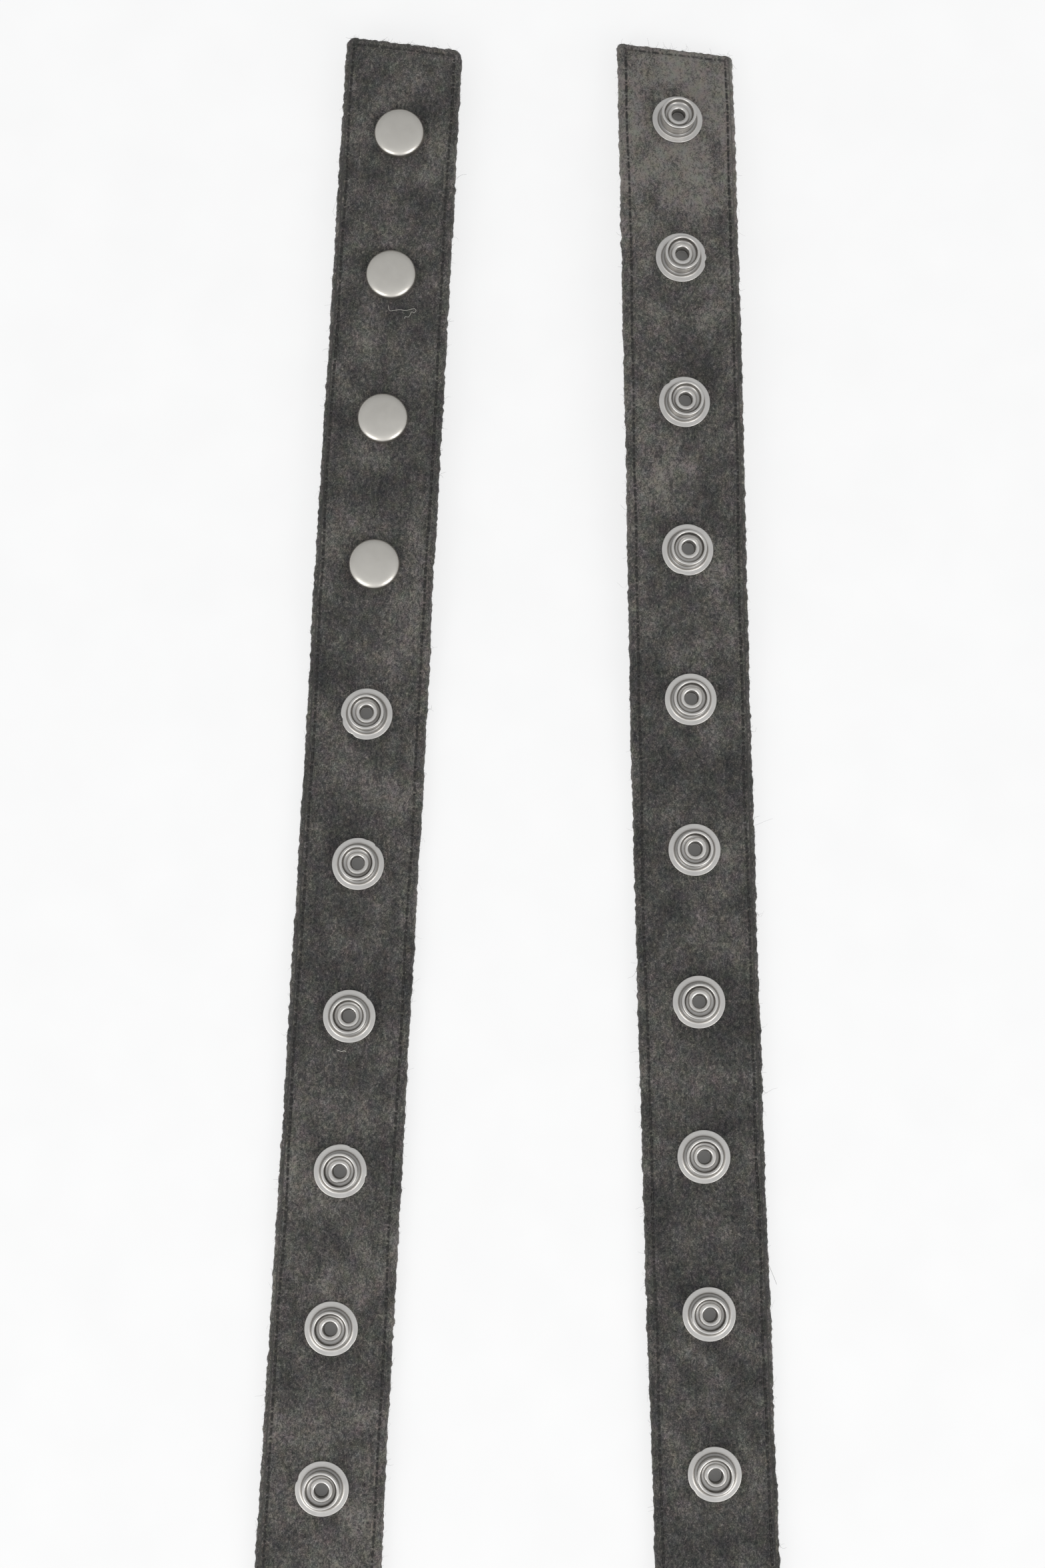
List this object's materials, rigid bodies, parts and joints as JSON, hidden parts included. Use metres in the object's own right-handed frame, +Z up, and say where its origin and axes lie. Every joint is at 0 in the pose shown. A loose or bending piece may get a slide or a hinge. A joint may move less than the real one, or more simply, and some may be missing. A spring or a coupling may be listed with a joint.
{
  "type": "felt snap strap",
  "caption": "Long double-ply felt strap with topstitched edges and a row of ring-spring snaps: four caps at one end, studs along the rest, laid in a long U.",
  "frame": {"origin": "on the table under the middle of the laid strap's box", "axes": "+Y towards the strap's two ends, +Z up out of the snap face, +X from the cap arm to the stud arm"},
  "size_m": [0.1508, 0.6178, 0.035],
  "materials": {
    "wool_felt": "dark warm-grey mottled wool felt, fuzzy",
    "sewing_thread": "dark grey matt sewing thread",
    "snap_metal": "satin nickel-plated pressed sheet",
    "spring_steel": "bright drawn wire"
  },
  "bodies": {
    "left_tip": {"felt_face_left_tip": "wool_felt", "felt_back_left_tip": "wool_felt", "needle_thread_left_tip": "sewing_thread", "bobbin_thread_left_tip": "sewing_thread", "snap_caps": "snap_metal", "snap_sockets": "snap_metal", "socket_ring_springs": "spring_steel"},
    "left_mid": {"felt_face_left_mid": "wool_felt", "felt_back_left_mid": "wool_felt", "needle_thread_left_mid": "sewing_thread", "bobbin_thread_left_mid": "sewing_thread", "snap_studs_left_mid": "snap_metal", "stud_posts_left_mid": "snap_metal"},
    "left_base": {"felt_face_left_base": "wool_felt", "felt_back_left_base": "wool_felt", "needle_thread_left_base": "sewing_thread", "bobbin_thread_left_base": "sewing_thread", "snap_studs_left_base": "snap_metal", "stud_posts_left_base": "snap_metal"},
    "loop_left": {"felt_face_loop_left": "wool_felt", "felt_back_loop_left": "wool_felt", "needle_thread_loop_left": "sewing_thread", "bobbin_thread_loop_left": "sewing_thread", "snap_studs_loop_left": "snap_metal", "stud_posts_loop_left": "snap_metal"},
    "loop_right": {"felt_face_loop_right": "wool_felt", "felt_back_loop_right": "wool_felt", "needle_thread_loop_right": "sewing_thread", "bobbin_thread_loop_right": "sewing_thread", "snap_studs_loop_right": "snap_metal", "stud_posts_loop_right": "snap_metal"},
    "right_base": {"felt_face_right_base": "wool_felt", "felt_back_right_base": "wool_felt", "needle_thread_right_base": "sewing_thread", "bobbin_thread_right_base": "sewing_thread", "snap_studs_right_base": "snap_metal", "stud_posts_right_base": "snap_metal"},
    "right_mid": {"felt_face_right_mid": "wool_felt", "felt_back_right_mid": "wool_felt", "needle_thread_right_mid": "sewing_thread", "bobbin_thread_right_mid": "sewing_thread", "snap_studs_right_mid": "snap_metal", "stud_posts_right_mid": "snap_metal"},
    "right_tip": {"felt_face_right_tip": "wool_felt", "felt_back_right_tip": "wool_felt", "needle_thread_right_tip": "sewing_thread", "bobbin_thread_right_tip": "sewing_thread", "snap_studs_right_tip": "snap_metal", "stud_posts_right_tip": "snap_metal"}
  },
  "joints": [
    {"name": "left_tip_fold", "type": "hinge", "parent": "left_mid", "child": "left_tip", "pos_m": [-0.04244, 0.12408, 0.0041], "axis": [0.9988, -0.0487, 0], "range_deg": [0, 90]},
    {"name": "left_mid_fold", "type": "hinge", "parent": "left_base", "child": "left_mid", "pos_m": [-0.04886, -0.00764, 0.0022], "axis": [0.9988, -0.0487, 0], "range_deg": [0, 60]},
    {"name": "left_base_fold", "type": "hinge", "parent": "loop_left", "child": "left_base", "pos_m": [-0.05529, -0.13948, 0.0022], "axis": [0.9988, -0.0487, 0], "range_deg": [0, 60]},
    {"name": "loop_bend", "type": "hinge", "parent": "loop_right", "child": "loop_left", "pos_m": [0.02269, -0.29701, 0.0175], "axis": [0, 0, 1], "range_deg": [-4, 60]},
    {"name": "right_base_fold", "type": "hinge", "parent": "loop_right", "child": "right_base", "pos_m": [0.05654, -0.13555, 0.0022], "axis": [0.9996, 0.0272, 0], "range_deg": [0, 60]},
    {"name": "right_mid_fold", "type": "hinge", "parent": "right_base", "child": "right_mid", "pos_m": [0.05328, -0.00359, 0.0022], "axis": [0.9998, 0.0223, 0], "range_deg": [0, 60]},
    {"name": "right_tip_fold", "type": "hinge", "parent": "right_mid", "child": "right_tip", "pos_m": [0.05067, 0.12831, 0.00544], "axis": [0.9995, 0.019, -0.0267], "range_deg": [0, 90]}
  ]
}
